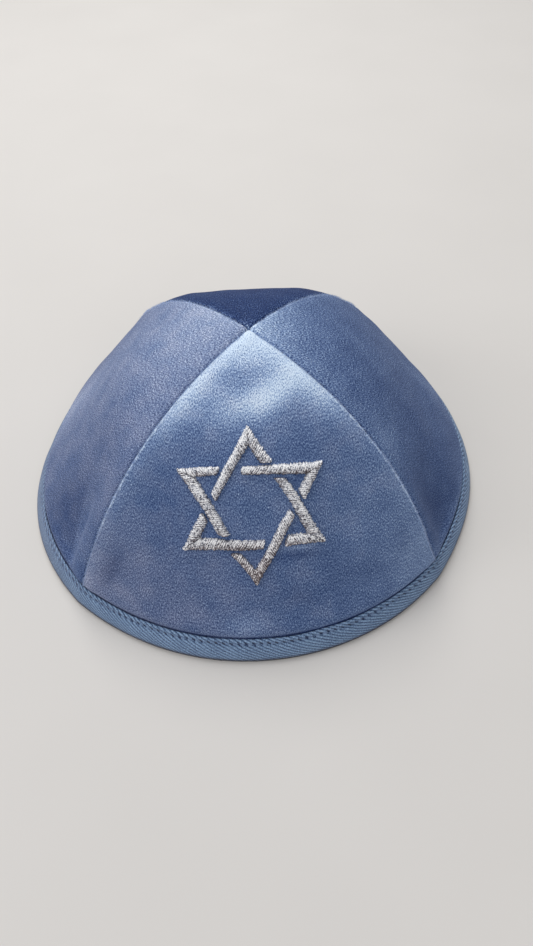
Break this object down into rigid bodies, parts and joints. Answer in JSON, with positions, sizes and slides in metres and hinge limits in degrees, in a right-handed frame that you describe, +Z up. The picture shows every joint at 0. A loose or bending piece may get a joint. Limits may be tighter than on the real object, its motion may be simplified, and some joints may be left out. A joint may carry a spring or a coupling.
{
  "type": "kippah skullcap",
  "caption": "Soft domed velvet skullcap sewn from pointed panels, open below for the head, with a folded tape rim and a raised interlaced star embroidered on the front panel.",
  "frame": {"origin": "centre of the rim, on the surface that the cap stands on", "axes": "+Z up through the crown, -Y towards the front, where the star is, +X to the right as the front is looked at"},
  "size_m": [0.1668, 0.1673, 0.0686],
  "materials": {
    "velvet": "short cut pile with a soft sheen",
    "rim_tape": "smooth twill tape",
    "silver_thread": "satin stitch in shiny thread"
  },
  "bodies": {
    "root": {"front_panel": "velvet", "right_panel": "velvet", "back_panel": "velvet", "left_panel": "velvet", "rim_binding": "rim_tape", "star_point_top": "silver_thread", "star_point_upper_right": "silver_thread", "star_point_lower_right": "silver_thread", "star_point_bottom": "silver_thread", "star_point_lower_left": "silver_thread", "star_point_upper_left": "silver_thread"}
  },
  "joints": []
}
